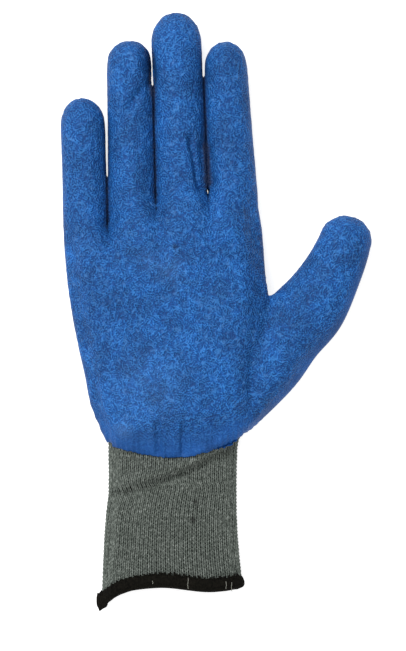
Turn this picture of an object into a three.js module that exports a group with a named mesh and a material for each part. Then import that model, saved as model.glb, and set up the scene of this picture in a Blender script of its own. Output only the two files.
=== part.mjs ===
// Latex coated grip glove, lying palm up on its back. Millimetres, +Z up, fingers towards +Y, thumb towards +X.
// A seamless knitted shell (hand, four fingers, thumb and cuff) is one skin of four-sided faces. Every solid is a
// wall grown from that skin: the knitted tubes inwards, the latex film outwards, the overlocked hem round its rim.
import * as THREE from "three";
import { mergeVertices } from "three/addons/utils/BufferGeometryUtils.js";

// Layers
const KNIT_WALL = 1.6; // seamless knit
const COAT_WALL = 1.0; // latex film over the palm side
const HEM_WALL = 0.8; // overlock thread on each side of the rim
const LAYER_GAP = 0.3; // between two layers
const SEAM_GAP = 0.3; // between two knitted tubes, end to end
const FINGER_CLEARANCE = 0.3; // between the coated sides of two neighbouring fingers

// Fingers, sizes of the knitted tubes. Lean is in degrees towards the thumb.
const LITTLE_LENGTH = 57.8;
const LITTLE_WIDTH = 17;
const LITTLE_HEIGHT = 14.5;
const RING_LENGTH = 76.2;
const RING_WIDTH = 18.3;
const RING_HEIGHT = 15.5;
const MIDDLE_LENGTH = 81;
const MIDDLE_WIDTH = 19.9;
const MIDDLE_HEIGHT = 16.5;
const INDEX_LENGTH = 69;
const INDEX_WIDTH = 19.6;
const INDEX_HEIGHT = 16;
const FINGER_RISE = 5; // fingertips curl up off the table by this much
// taper: share of the width where the tip begins, tip: length of the tip as a share of half that width
const FINGERS = [
  { name: "little", length: LITTLE_LENGTH, width: LITTLE_WIDTH, height: LITTLE_HEIGHT, taper: 0.97, tip: 1.3, lean: -1.6 },
  { name: "ring", length: RING_LENGTH, width: RING_WIDTH, height: RING_HEIGHT, taper: 0.94, tip: 1.08, lean: -0.8 },
  { name: "middle", length: MIDDLE_LENGTH, width: MIDDLE_WIDTH, height: MIDDLE_HEIGHT, taper: 0.95, tip: 1.22, lean: -2.1 },
  { name: "index", length: INDEX_LENGTH, width: INDEX_WIDTH, height: INDEX_HEIGHT, taper: 0.8, tip: 1.3, lean: -3.1 },
];

// Thumb
const THUMB_LENGTH = 49.2;
const THUMB_WIDTH = 24;
const THUMB_HEIGHT = 17;
const THUMB_RISE = 6;

// Hand and cuff
const PALM_LENGTH = 107.8; // wrist to the crotch between middle and index fingers
const PALM_HEIGHT = 23;
const CUFF_LENGTH = 60.6; // wrist to the knitted rim
const CUFF_WIDTH = 58.8;
const CUFF_HEIGHT = 11;
const HEM_DEPTH = 4.7; // how far the overlock reaches up the cuff
const WRIST_SAG = 7.7; // the latex edge bows towards the cuff
const CUFF_DROOP = 10.1; // the little finger corner of the rim hangs lower
const DROOP_SHARE = 0.4; // of CUFF_LENGTH, over which the corner is drawn down
const RIM_WAVE = 2.1; // the rim dips towards the thumb side
const CROTCH_VALLEY = 7; // depth of the groove that runs out of each finger crotch
const THUMB_CREASE = 9; // depth of the groove between palm and thumb mound
const CUFF_FOLD = 1.7; // slanting fold across the front of the cuff
const GATHER_DEPTH = 0.7; // small pleats in the latex above the wrist

const SKIN = LAYER_GAP + COAT_WALL;
const WEB = 2 * SKIN + FINGER_CLEARANCE;
const KNUCKLE_WIDTH = FINGERS.reduce((sum, finger) => sum + finger.width, 3 * WEB);

// Each ring has the same columns over the palm side and the back, and two points down each side.
const FINGER_COLUMNS = 5;
const COLUMN_SPREAD = [0, 0.23, 0.5, 0.77, 1];
const SIDE_POINTS = 2;
const RING_POINTS = 2 * (FINGER_COLUMNS + SIDE_POINTS);
const LAST_PALM_COLUMN = 4 * (FINGER_COLUMNS + 1) - 2;
const FORK_COLUMN = LAST_PALM_COLUMN + 1;

// Palm rows from wrist to fork. climb: share of PALM_LENGTH, x: share of KNUCKLE_WIDTH, each at the little finger
// side, at the fork line between palm and thumb, and at the thumb side. height: of PALM_HEIGHT. crease: of
// THUMB_CREASE. sag: of WRIST_SAG.
const LOWER_ROWS = [
  { climb: [0.022, 0.052, 0.068], x: [-0.347, 0.28, 0.381], height: 0.57, crease: 0.0, sag: 0.95 },
  { climb: [0.09, 0.105, 0.125], x: [-0.382, 0.335, 0.469], height: 0.74, crease: 0.12, sag: 0.5 },
  { climb: [0.176, 0.171, 0.19], x: [-0.43, 0.379, 0.56], height: 0.9, crease: 0.2, sag: 0.15 },
  { climb: [0.265, 0.269, 0.272], x: [-0.449, 0.418, 0.66], height: 0.98, crease: 0.24, sag: 0 },
  { climb: [0.359, 0.376, 0.358], x: [-0.477, 0.455, 0.731], height: 1.02, crease: 0.3, sag: 0 },
  { climb: [0.469, 0.49, 0.406], x: [-0.508, 0.482, 0.787], height: 1.04, crease: 0.5, sag: 0 },
  { climb: [0.576, 0.602, 0.441], x: [-0.532, 0.5, 0.829], height: 1.04, crease: 1.0, sag: 0 },
];
// Palm rows from fork to knuckles. rise: share of the way. valley: share of CROTCH_VALLEY. round: share of the side
// bulge on the thumb side, which starts flat in the fork.
const UPPER_ROWS = [
  { rise: 0.33, x: [-0.55, 0.466], height: 1.04, valley: 0, round: 0.7 },
  { rise: 0.66, x: [-0.56, 0.455], height: 1.02, valley: 0.16, round: 1 },
  { rise: 0.86, x: [-0.566, 0.443], height: 0.97, valley: 0.5, round: 1 },
  { rise: 1.0, x: [-0.569, 0.431], height: 0.88, valley: 1, round: 1 },
];
// How high each crotch lies, as a share of PALM_LENGTH, from the outer side of the little finger to that of the index.
const KNUCKLE_CLIMB = [0.861, 0.882, 0.986, 1.022, 0.975];
// Cuff rows below the wrist. drop: share of CUFF_LENGTH at each side. width and shift: of CUFF_WIDTH, shift towards
// the thumb. height: of CUFF_HEIGHT. sag: of WRIST_SAG. fold: of CUFF_FOLD, up for the overhang and down for the
// crease under it.
const CUFF_ROWS = [
  { drop: [0.0, -0.085], width: 1.01, shift: 0.006, height: 1.1, sag: 1, fold: 0 },
  { drop: [0.29, -0.05], width: 0.985, shift: -0.002, height: 1.04, sag: 0.41, fold: 1 },
  { drop: [0.37, 0.0], width: 0.98, shift: -0.01, height: 0.92, sag: 0.41, fold: -0.7 },
  { drop: [0.47, 0.26], width: 0.985, shift: -0.02, height: 0.96, sag: 0.1, fold: 0 },
  { drop: [0.62, 0.53], width: 1.0, shift: -0.026, height: 1.0, sag: 0, fold: 0 },
  { drop: [0.78, 0.75], width: 1.025, shift: -0.024, height: 1.02, sag: 0, fold: 0 },
];
const RIM_WIDTH = 1.054; // of CUFF_WIDTH
const RIM_SHIFT = -0.018; // of CUFF_WIDTH
const RIM_HEIGHT = 1.15; // of CUFF_HEIGHT

// Finger sections, from root to where the tip begins. along: share of that stretch. height: of the finger's own.
const FINGER_ROWS = [
  { along: 0.09, height: 1.1 },
  { along: 0.27, height: 1.05 },
  { along: 0.5, height: 1.0 },
  { along: 0.75, height: 0.98 },
  { along: 1.0, height: 0.92 },
];
// Thumb sections. along: share of THUMB_LENGTH. heading: way of the centre line up to the section, turn: of the
// section itself, both in degrees from +Y towards +X. width: of THUMB_WIDTH. height: of THUMB_HEIGHT.
const THUMB_ROWS = [
  { along: 0.12, heading: 42, turn: 30, width: 1.24, height: 1.2 },
  { along: 0.31, heading: 35, turn: 28, width: 1.11, height: 1.12 },
  { along: 0.49, heading: 29, turn: 26, width: 1.0, height: 1.04 },
  { along: 0.655, heading: 25, turn: 21, width: 0.93, height: 1.0 },
  { along: 0.79, heading: 19, turn: 13, width: 0.85, height: 0.94 },
];
const THUMB_TIP_HEADING = 8;
const TIP_ANGLES = [27, 51, 72]; // rings of a rounded tip, in degrees from its edge

// Shape of a hand section: the palm side is a dome over an edge, the back is flat where it rests
const EDGE_HEIGHT = 0.62; // of the section's height, where the side begins
const EDGE_LIFT = 0.17; // of the section's height, where the back meets the side
const FLAT_SHARE = 0.6; // of the half width, flat on the table
const DOME_POWER = 2.3;
const SIDE_BULGE = 0.17; // of the section's height
const CUFF_BULGE = 0.2; // the same for the cuff, which is rounder at its sides
const VALLEY_SPREAD = 3.6; // half width of a crotch groove
const CREASE_SPREAD = 7; // half width of the thumb crease
const GATHERS = 6;
const GATHER_ROW_SHARE = [1, 0.6];

const points = [];
const faces = [];
const radians = THREE.MathUtils.degToRad;
const mix = THREE.MathUtils.lerp;
const addPoint = (x, y, z) => points.push(new THREE.Vector3(x, y, z)) - 1;
const bow = (across) => Math.max(0, 1 - across ** 2) * (1 + 0.3 * across); // 0 at both ends, fullest near the middle
const hump = (distance, spread) => Math.exp(-((distance / spread) ** 2));

// Column places over the knuckles, from 0 at the little finger side to 1 at the index side, and the y of the knuckle
// line at each.
function knuckleColumns() {
  const left = -0.5 * KNUCKLE_WIDTH;
  const bulge = SIDE_BULGE * UPPER_ROWS[3].height * PALM_HEIGHT;
  const columns = [];
  let start = left + bulge;
  FINGERS.forEach((finger, n) => {
    const from = left + FINGERS.slice(0, n).reduce((sum, f) => sum + f.width + WEB, 0);
    const end = from + finger.width - (n === 3 ? bulge : 0);
    COLUMN_SPREAD.forEach((share) => {
      const climb = mix(KNUCKLE_CLIMB[n], KNUCKLE_CLIMB[n + 1], share);
      columns.push({ x: mix(start, end, share), y: climb * PALM_LENGTH });
    });
    if (n < 3) columns.push({ x: end + WEB / 2, y: KNUCKLE_CLIMB[n + 1] * PALM_LENGTH, web: true });
    start = end + WEB;
  });
  const width = columns.at(-1).x - columns[0].x;
  return columns.map((c) => ({ share: (c.x - columns[0].x) / width, y: c.y, web: c.web }));
}
const KNUCKLES = knuckleColumns();

// A row of columns, each with a point on the palm side, one on the back and a path down each edge that needs one.
function makeRow(columns, height, options = {}) {
  const { valleys = [], topShift = () => 0, foot = 0, bulges = [1, 1], edges = [], bulging = SIDE_BULGE } = options;
  const first = columns[0];
  const last = columns.at(-1);
  const top = [];
  const back = [];
  columns.forEach((column) => {
    const across = (2 * (column.x - first.x)) / (last.x - first.x) - 1;
    const dome = (1 - Math.abs(across) ** DOME_POWER) ** (1 / DOME_POWER);
    const lift = Math.max(0, (Math.abs(across) - FLAT_SHARE) / (1 - FLAT_SHARE)) ** 2;
    let high = height * mix(EDGE_HEIGHT, 1, dome);
    let low = height * EDGE_LIFT * lift;
    valleys.forEach((valley) => {
      const share = hump(column.x - valley.x, valley.spread);
      high -= valley.depth * share;
      low += valley.depth * valley.backShare * share;
    });
    high += topShift(column, across);
    top.push(addPoint(column.x, column.y - (column.sag ?? 0), foot + high));
    back.push(addPoint(column.x, column.y, foot + low));
  });
  // Points down an edge, from palm side to back, bulging by out towards the given way
  const path = (column, out, way) => {
    const a = points[top[column]];
    const b = points[back[column]];
    return Array.from({ length: SIDE_POINTS }, (_, i) => {
      const angle = (Math.PI * (i + 1)) / (SIDE_POINTS + 1);
      const p = a.clone().lerp(b, (1 - Math.cos(angle)) / 2);
      return addPoint(p.x + way * out * Math.sin(angle), p.y, p.z);
    });
  };
  const bulge = bulging * height;
  const paths = new Map(edges.map((column) => [column, path(column, 0, 0)]));
  paths.set(0, path(0, bulge * bulges[0], -1));
  const end = columns.length - 1;
  if (!paths.has(end) || bulges[1] > 0) paths.set(end, path(end, bulge * bulges[1], 1));
  return { top, back, paths };
}

// The closed ring of a row from one column to another
function ringOf(row, from, to) {
  const top = row.top.slice(from, to + 1);
  const back = row.back.slice(from, to + 1).reverse();
  return [...top, ...row.paths.get(to), ...back, ...[...row.paths.get(from)].reverse()];
}

// Which faces of a band carry latex: the palm side always, and the given number of faces down each side
function coatRule(columns, leftFaces, rightFaces) {
  return (i) => {
    const topFaces = columns - 1;
    if (i < topFaces) return true;
    const down = i - topFaces;
    if (down <= SIDE_POINTS) return down < rightFaces;
    const up = 2 * topFaces + 2 * (SIDE_POINTS + 1) - 1 - i;
    return up <= SIDE_POINTS && up < leftFaces;
  };
}

function loft(tube, ringA, ringB, coated) {
  ringA.forEach((a, i) => {
    const next = (i + 1) % ringA.length;
    faces.push({ tube, corners: [a, ringA[next], ringB[next], ringB[i]], coated: coated(i) });
  });
}

// The floor of a crotch, between three neighbouring columns of one row
function web(row, middle) {
  const line = (column) => [row.top[column], ...row.paths.get(column), row.back[column]];
  const lines = [middle - 1, middle, middle + 1].map(line);
  for (let side = 0; side < 2; side++) {
    for (let i = 0; i <= SIDE_POINTS; i++) {
      const corners = [lines[side][i], lines[side + 1][i], lines[side + 1][i + 1], lines[side][i + 1]];
      faces.push({ tube: "hand", corners, coated: i < SIDE_POINTS });
    }
  }
}

// A ring of RING_POINTS round a centre, turned by heading, in the order of ringOf
function section(centre, width, height, heading, slant = 0) {
  const step = (2 * Math.PI) / RING_POINTS;
  const start = Math.PI / 2 + (step * (FINGER_COLUMNS - 1)) / 2;
  const reach = 1 / Math.cos(step / 2);
  return Array.from({ length: RING_POINTS }, (_, i) => {
    const angle = start - step * i;
    const aside = (width / 2) * reach * Math.cos(angle);
    const x = centre.x + aside * Math.cos(heading);
    const y = centre.y - aside * Math.sin(heading) + slant * aside;
    return addPoint(x, y, centre.z + (height / 2) * Math.sin(angle));
  });
}

// A rounded, fully coated tip on the ring of a tube
function tip(tube, ring, centre, width, height, heading, length) {
  let last = ring;
  const way = new THREE.Vector3(Math.sin(heading), Math.cos(heading), 0);
  TIP_ANGLES.map(radians).forEach((angle) => {
    const at = centre.clone().addScaledVector(way, length * Math.sin(angle));
    const next = section(at, width * Math.cos(angle), height * Math.cos(angle), heading);
    loft(tube, last, next, () => true);
    last = next;
  });
  const end = centre.clone().addScaledVector(way, length);
  const pole = addPoint(end.x, end.y, end.z);
  last.forEach((a, i) => {
    faces.push({ tube, corners: [a, last[(i + 1) % last.length], pole], coated: true });
  });
}

// Hand
function gather(column, across, share) {
  const wave = 0.5 - 0.5 * Math.cos(GATHERS * Math.PI * (across + 1));
  return -GATHER_DEPTH * share * wave * (1 - across ** 2);
}

function lowerRow(spec, n) {
  const [left, fork, right] = spec.x.map((share) => share * KNUCKLE_WIDTH);
  const [leftY, forkY, rightY] = spec.climb.map((share) => share * PALM_LENGTH);
  const height = spec.height * PALM_HEIGHT;
  const bulge = SIDE_BULGE * height;
  const half = (WEB / 2) * mix(0.6, 1.15, spec.crease);
  const columns = KNUCKLES.map(({ share }) => ({
    x: mix(left + bulge, fork - half, share),
    y: mix(leftY, forkY, share),
  }));
  columns.push({ x: fork, y: forkY });
  COLUMN_SPREAD.forEach((share) => {
    columns.push({ x: mix(fork + half, right - bulge, share), y: mix(forkY, rightY, share) });
  });
  const centre = (left + right) / 2;
  columns.forEach((column) => {
    column.sag = spec.sag * WRIST_SAG * bow((2 * (column.x - centre)) / (right - left));
  });
  const valley = { x: fork, depth: spec.crease * THUMB_CREASE, spread: CREASE_SPREAD, backShare: 0.3 };
  const isFork = n === LOWER_ROWS.length - 1;
  return makeRow(columns, height, {
    valleys: [valley],
    topShift: (column, across) => gather(column, across, GATHER_ROW_SHARE[n] ?? 0),
    edges: isFork ? [FORK_COLUMN - 1, FORK_COLUMN, FORK_COLUMN + 1] : [],
  });
}

const lowerRows = LOWER_ROWS.map(lowerRow);
const forkRow = lowerRows.at(-1);
const LAST_COLUMN = FORK_COLUMN + FINGER_COLUMNS;
lowerRows.slice(1).forEach((row, n) => {
  const rule = coatRule(LAST_COLUMN + 1, 2, 1);
  loft("hand", ringOf(lowerRows[n], 0, LAST_COLUMN), ringOf(row, 0, LAST_COLUMN), rule);
});
web(forkRow, FORK_COLUMN);

function upperRow(spec, n) {
  const [left, right] = spec.x.map((share) => share * KNUCKLE_WIDTH);
  const height = spec.height * PALM_HEIGHT;
  const bulge = SIDE_BULGE * height;
  const isKnuckle = n === UPPER_ROWS.length - 1;
  const columns = KNUCKLES.map(({ share, y, web: isWeb }, c) => ({
    x: mix(left + bulge, right - bulge * spec.round, share),
    y: mix(points[forkRow.top[c]].y, y, spec.rise) - (isWeb && isKnuckle ? WEB / 3 : 0),
    isWeb,
  }));
  const valleys = columns
    .filter((column) => column.isWeb)
    .map(({ x }) => ({ x, depth: spec.valley * CROTCH_VALLEY, spread: VALLEY_SPREAD, backShare: 0.45 }));
  const edges = columns.flatMap((column, c) => (column.isWeb && isKnuckle ? [c - 1, c, c + 1] : []));
  return makeRow(columns, height, { valleys, bulges: [1, spec.round], edges });
}

const upperRows = UPPER_ROWS.map(upperRow);
const knuckleRow = upperRows.at(-1);
[forkRow, ...upperRows].reduce((below, row) => {
  const ring = (r) => ringOf(r, 0, LAST_PALM_COLUMN);
  loft("hand", ring(below), ring(row), coatRule(LAST_PALM_COLUMN + 1, 2, 2));
  return row;
});

// Fingers
FINGERS.forEach((finger, n) => {
  const first = n * (FINGER_COLUMNS + 1);
  const last = first + FINGER_COLUMNS - 1;
  if (n < 3) web(knuckleRow, last + 1);
  const root = ringOf(knuckleRow, first, last);
  const corner = (column, path) => points[path.length ? path[0] : knuckleRow.top[column]];
  const a = corner(first, knuckleRow.paths.get(first));
  const b = corner(last, knuckleRow.paths.get(last));
  const start = a.clone().add(b).multiplyScalar(0.5);
  const slant = (b.y - a.y) / (b.x - a.x);
  const lean = radians(finger.lean);
  const endWidth = finger.width * finger.taper;
  const tipLength = (endWidth / 2) * finger.tip;
  const body = finger.length - tipLength;
  let ring = root;
  let centre = start;
  FINGER_ROWS.forEach(({ along, height }) => {
    const tall = finger.height * height;
    const rise = FINGER_RISE * (along * (body / finger.length)) ** 2;
    centre = new THREE.Vector3(
      start.x + along * body * Math.sin(lean),
      start.y + along * body * Math.cos(lean),
      rise + tall / 2,
    );
    const width = finger.width * mix(1, finger.taper, along);
    const next = section(centre, width, tall, lean, slant * (1 - along) ** 2);
    loft(`${finger.name}_finger`, ring, next, coatRule(FINGER_COLUMNS, 2, 2));
    ring = next;
  });
  const tall = finger.height * FINGER_ROWS.at(-1).height;
  tip(`${finger.name}_finger`, ring, centre, endWidth, tall, lean, tipLength);
});

// Thumb
function makeThumb() {
  let ring = ringOf(forkRow, FORK_COLUMN + 1, LAST_COLUMN);
  const corners = [FORK_COLUMN + 1, LAST_COLUMN].map((column) => points[forkRow.paths.get(column)[0]]);
  const centre = corners[0].clone().add(corners[1]).multiplyScalar(0.5);
  let travelled = 0;
  THUMB_ROWS.forEach(({ along, heading, turn, width, height }) => {
    const step = (along - travelled) * THUMB_LENGTH;
    travelled = along;
    centre.x += step * Math.sin(radians(heading));
    centre.y += step * Math.cos(radians(heading));
    const tall = height * THUMB_HEIGHT;
    centre.z = THUMB_RISE * along + tall / 2;
    const next = section(centre, width * THUMB_WIDTH, tall, radians(turn));
    loft("thumb", ring, next, coatRule(FINGER_COLUMNS, 2, 1));
    ring = next;
  });
  const { along, width, height } = THUMB_ROWS.at(-1);
  const heading = radians(THUMB_TIP_HEADING);
  tip("thumb", ring, centre, width * THUMB_WIDTH, height * THUMB_HEIGHT, heading, (1 - along) * THUMB_LENGTH);
}
makeThumb();

// Cuff: rows below the wrist, with the last two at the top of the hem and at the rim
function rimY(across) {
  const turn = (Math.PI / 2) * Math.max(0, (across + 0.2) / 0.8);
  return -CUFF_LENGTH - RIM_WAVE * Math.sin(turn) ** 2;
}

function cuffRow({ width, shift, height, foot = 0, fold = 0, yAt, sagAt = () => 0 }) {
  const wrist = lowerRows[0];
  const left = points[wrist.top[0]].x;
  const right = points[wrist.top.at(-1)].x;
  const half = (width * CUFF_WIDTH) / 2 - CUFF_BULGE * height;
  const columns = wrist.top.map((p) => {
    const across = (2 * (points[p].x - left)) / (right - left) - 1;
    return { x: shift * CUFF_WIDTH + half * across, y: yAt(across), sag: sagAt(across) };
  });
  const foldAt = (column, across) => fold * CUFF_FOLD * (1 - 0.5 * across ** 2);
  return makeRow(columns, height, { topShift: foldAt, foot, bulging: CUFF_BULGE });
}

const hemFoot = LAYER_GAP + HEM_WALL; // keeps the hem under the knitted rim off the table
const rimShape = { width: RIM_WIDTH, shift: RIM_SHIFT, height: RIM_HEIGHT * CUFF_HEIGHT, foot: hemFoot };
const cuffRows = [
  ...CUFF_ROWS.map((spec) =>
    cuffRow({
      ...spec,
      height: spec.height * CUFF_HEIGHT,
      yAt: (across) => -CUFF_LENGTH * mix(spec.drop[0], spec.drop[1], (across + 1) / 2),
      sagAt: (across) => spec.sag * WRIST_SAG * bow(across),
    }),
  ),
  cuffRow({ ...rimShape, yAt: (across) => rimY(across) + HEM_DEPTH }),
  cuffRow({ ...rimShape, yAt: rimY }),
];
const cuffRings = cuffRows.map((row) => ringOf(row, 0, LAST_COLUMN));
cuffRings.forEach((ring, n) => {
  const above = n ? cuffRings[n - 1] : ringOf(lowerRows[0], 0, LAST_COLUMN);
  loft("cuff", ring, above, n ? () => false : coatRule(LAST_COLUMN + 1, 0, 0));
});

// Outward way of each point, longer at sharp corners so that a wall keeps its thickness there
function outwardWays() {
  const sums = points.map(() => ({ way: new THREE.Vector3(), normals: [] }));
  faces.forEach(({ corners }) => {
    const [a, b, c, d] = corners.map((i) => points[i]);
    const normal = (d ? c.clone().sub(a) : b.clone().sub(a)).cross(d ? d.clone().sub(b) : c.clone().sub(a));
    normal.normalize();
    corners.forEach((i) => {
      sums[i].way.add(normal);
      sums[i].normals.push(normal);
    });
  });
  return sums.map(({ way, normals }) => {
    way.normalize();
    const mean = normals.reduce((sum, normal) => sum + normal.dot(way), 0) / normals.length;
    return way.divideScalar(Math.max(mean, 0.7));
  });
}
const outward = outwardWays();

// Triangles of a face, cut along its shorter diagonal
function trianglesOf(corners) {
  if (corners.length === 3) return [corners];
  const [a, b, c, d] = corners;
  const short = points[a].distanceTo(points[c]) <= points[b].distanceTo(points[d]);
  return short ? [[a, b, c], [a, c, d]] : [[a, b, d], [b, c, d]];
}

// Moves the open edges of a tube back along its skin by half the seam gap
function pulledBack(used, rims) {
  const away = new Map();
  used.forEach(({ corners }) => {
    corners.forEach((p, i) => {
      if (!rims.has(p)) return;
      [corners[(i + 1) % corners.length], corners.at(i - 1)].forEach((q) => {
        if (rims.has(q)) return;
        const way = points[q].clone().sub(points[p]).normalize();
        away.set(p, (away.get(p) ?? new THREE.Vector3()).add(way));
      });
    });
  });
  return (p) => (away.has(p) ? away.get(p).clone().normalize().multiplyScalar(SEAM_GAP / 2) : new THREE.Vector3());
}

// Draws the little finger corner of the cuff down, the more the nearer a point is to it
function drooped(point) {
  const across = (point.x - RIM_SHIFT * CUFF_WIDTH) / ((RIM_WIDTH * CUFF_WIDTH) / 2);
  const reach = (-point.y / CUFF_LENGTH - 1 + DROOP_SHARE) / DROOP_SHARE;
  const share = THREE.MathUtils.clamp(reach, 0, 1) * Math.max(0, (1 - across) / 2) ** 7.6;
  point.y -= CUFF_DROOP * share;
  return point;
}

// A closed wall over some faces of the skin, between two distances from it
function wall(used, outer, inner, seamed) {
  const edges = new Map();
  used.forEach(({ corners }) => {
    corners.forEach((a, i) => edges.set(`${a}_${corners[(i + 1) % corners.length]}`, true));
  });
  const open = [...edges.keys()]
    .map((key) => key.split("_").map(Number))
    .filter(([a, b]) => !edges.has(`${b}_${a}`));
  const rims = new Set(open.flat());
  const shift = seamed ? pulledBack(used, rims) : () => new THREE.Vector3();
  const place = (p, distance) => drooped(points[p].clone().add(shift(p)).addScaledVector(outward[p], distance));
  const coords = [];
  const triangle = (a, b, c) => coords.push(...a.toArray(), ...b.toArray(), ...c.toArray());
  used.forEach(({ corners }) => {
    trianglesOf(corners).forEach(([a, b, c]) => {
      triangle(place(a, outer), place(b, outer), place(c, outer));
      triangle(place(c, inner), place(b, inner), place(a, inner));
    });
  });
  open.forEach(([a, b]) => {
    triangle(place(b, outer), place(a, outer), place(a, inner));
    triangle(place(b, outer), place(a, inner), place(b, inner));
  });
  return solidGeometry(coords);
}

function solidGeometry(coords) {
  const loose = new THREE.BufferGeometry();
  loose.setAttribute("position", new THREE.Float32BufferAttribute(coords, 3));
  const merged = mergeVertices(loose, 1e-3);
  merged.computeVertexNormals();
  return merged;
}

// Overlocked hem: a channel that wraps the knitted rim inside and out
function hemGeometry() {
  const [upper, rim] = cuffRings.slice(-2);
  const near = LAYER_GAP;
  const far = LAYER_GAP + HEM_WALL;
  const rimBox = new THREE.Box3().setFromPoints(rim.map((p) => points[p]));
  const rimCentre = rimBox.getCenter(new THREE.Vector3());
  const rimHalf = rimBox.getSize(new THREE.Vector3()).divideScalar(2);
  // Inside the mouth the knit's inner ring shrinks as a whole, which keeps its tight corners clear of each other
  const inside = (p, distance) => {
    const place = points[p].clone().addScaledVector(outward[p], -KNIT_WALL);
    place.x -= (distance * (place.x - rimCentre.x)) / rimHalf.x;
    place.z -= (distance * (place.z - rimCentre.z)) / rimHalf.z;
    return place;
  };
  const sections = rim.map((p, i) => {
    const down = points[p].clone().sub(points[upper[i]]).normalize();
    const at = (q, out, drop) => points[q].clone().addScaledVector(outward[q], out).addScaledVector(down, drop);
    const within = (q, distance, drop) => inside(q, distance).addScaledVector(down, drop);
    return [
      at(upper[i], near, 0),
      at(upper[i], far, 0),
      at(p, far, far),
      within(p, far, far),
      within(upper[i], far, 0),
      within(upper[i], near, 0),
      within(p, near, near),
      at(p, near, near),
    ].map(drooped);
  });
  const coords = [];
  sections.forEach((here, i) => {
    const next = sections[(i + 1) % sections.length];
    here.forEach((a, k) => {
      const m = (k + 1) % here.length;
      [a, here[m], next[k], next[k], here[m], next[m]].forEach((v) => coords.push(...v.toArray()));
    });
  });
  return solidGeometry(coords);
}

const knit = new THREE.MeshStandardMaterial({ color: 0x5c605c, roughness: 0.95, metalness: 0 });
const latex = new THREE.MeshStandardMaterial({ color: 0x2d5fa3, roughness: 0.6, metalness: 0 });
const overlock = new THREE.MeshStandardMaterial({ color: 0x16160f, roughness: 0.9, metalness: 0 });

const glove = new THREE.Group();
function add(name, geometry, material) {
  const mesh = new THREE.Mesh(geometry, material);
  mesh.name = name;
  glove.add(mesh);
}

const tubes = ["hand", ...FINGERS.map((finger) => `${finger.name}_finger`), "thumb", "cuff"];
tubes.forEach((tube) => {
  const used = faces.filter((face) => face.tube === tube);
  add(`knit_${tube}`, wall(used, 0, -KNIT_WALL, true), knit);
});
const coatedFaces = faces.filter((face) => face.coated);
add("latex_coating", wall(coatedFaces, SKIN, LAYER_GAP, false), latex);
add("cuff_hem", hemGeometry(), overlock);

// The origin is the middle of the footprint, on the table
const box = new THREE.Box3().setFromObject(glove);
const middle = box.getCenter(new THREE.Vector3());
glove.position.set(-middle.x, -middle.y, -box.min.z);

export default glove;
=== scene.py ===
import bisect
import math

import bmesh
import bpy
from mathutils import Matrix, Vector, kdtree, noise
from mathutils.bvhtree import BVHTree


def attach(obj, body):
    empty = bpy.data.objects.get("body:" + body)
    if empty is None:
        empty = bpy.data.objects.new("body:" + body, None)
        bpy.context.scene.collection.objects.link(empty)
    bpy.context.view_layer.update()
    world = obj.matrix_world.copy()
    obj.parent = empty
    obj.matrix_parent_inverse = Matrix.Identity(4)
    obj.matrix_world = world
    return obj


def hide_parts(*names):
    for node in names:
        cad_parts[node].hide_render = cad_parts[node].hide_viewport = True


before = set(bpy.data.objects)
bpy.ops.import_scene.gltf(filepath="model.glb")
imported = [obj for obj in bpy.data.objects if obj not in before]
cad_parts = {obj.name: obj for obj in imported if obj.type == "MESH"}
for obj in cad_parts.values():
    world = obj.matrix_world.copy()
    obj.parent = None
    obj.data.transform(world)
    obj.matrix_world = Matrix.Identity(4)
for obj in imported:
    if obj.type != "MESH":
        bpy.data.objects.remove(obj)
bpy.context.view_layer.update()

mm = 0.001  # every size below is in millimetres, the scene is in metres
scene = bpy.context.scene
knitNodes = sorted(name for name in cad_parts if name.startswith("knit_"))


def say(text):
    print("scene: " + text, flush=True)


# Camera straight above the palm, far off behind a long lens. The picture is frameHeight high in the scene.
cameraSettings = {"lens": 300, "lookAt": (-5.7, -5.7, 10), "frameHeight": 286.4, "clipEnd": 20000}
cameraData = bpy.data.cameras.new("camera")
cameraData.lens = cameraSettings["lens"]
cameraData.clip_end = cameraSettings["clipEnd"] * mm
camera = bpy.data.objects.new("camera", cameraData)
lookX, lookY, lookZ = cameraSettings["lookAt"]
distance = cameraSettings["lens"] * cameraSettings["frameHeight"] / cameraData.sensor_width
camera.location = (lookX * mm, lookY * mm, (lookZ + distance) * mm)
scene.collection.objects.link(camera)
scene.camera = camera


# Materials

# sRGB hex to the linear colour that the shaders use
def colour(hexCode):
    channels = [int(hexCode[i:i + 2], 16) / 255 for i in (1, 3, 5)]
    linear = [c / 12.92 if c <= 0.04045 else ((c + 0.055) / 1.055) ** 2.4 for c in channels]
    return (*linear, 1.0)


# Adds a node, sets its properties or unlinked inputs, and links its other inputs to outputs given
def addNode(tree, kind, settings=None, links=None, stops=None):
    node = tree.nodes.new(kind)
    for key, value in (settings or {}).items():
        if isinstance(key, int) or key in node.inputs:
            node.inputs[key].default_value = value
        else:
            setattr(node, key, value)
    for key, output in (links or {}).items():
        tree.links.new(output, node.inputs[key])
    if stops:
        ramp = node.color_ramp
        while len(ramp.elements) < len(stops):
            ramp.elements.new(0.5)
        for element, (place, hexCode) in zip(ramp.elements, stops):
            element.position = place
            element.color = colour(hexCode)
    return node


def attribute(tree, name):
    return addNode(tree, "ShaderNodeAttribute", {"attribute_name": name}).outputs["Fac"]


# A ramp of colours, read at an output from 0 to 1
def ramp(tree, place, stops):
    return addNode(tree, "ShaderNodeValToRGB", {}, {"Fac": place}, stops).outputs["Color"]


# Lays a plain colour over another one by a share
def overlaid(tree, share, below, hexCode):
    return addNode(tree, "ShaderNodeMix", {"data_type": "RGBA", 7: colour(hexCode)}, {0: share, 6: below}).outputs[2]


def multiplied(tree, first, second):
    return addNode(tree, "ShaderNodeMix", {"data_type": "RGBA", "blend_type": "MULTIPLY", 0: 1.0},
                   {6: first, 7: second}).outputs[2]


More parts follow.
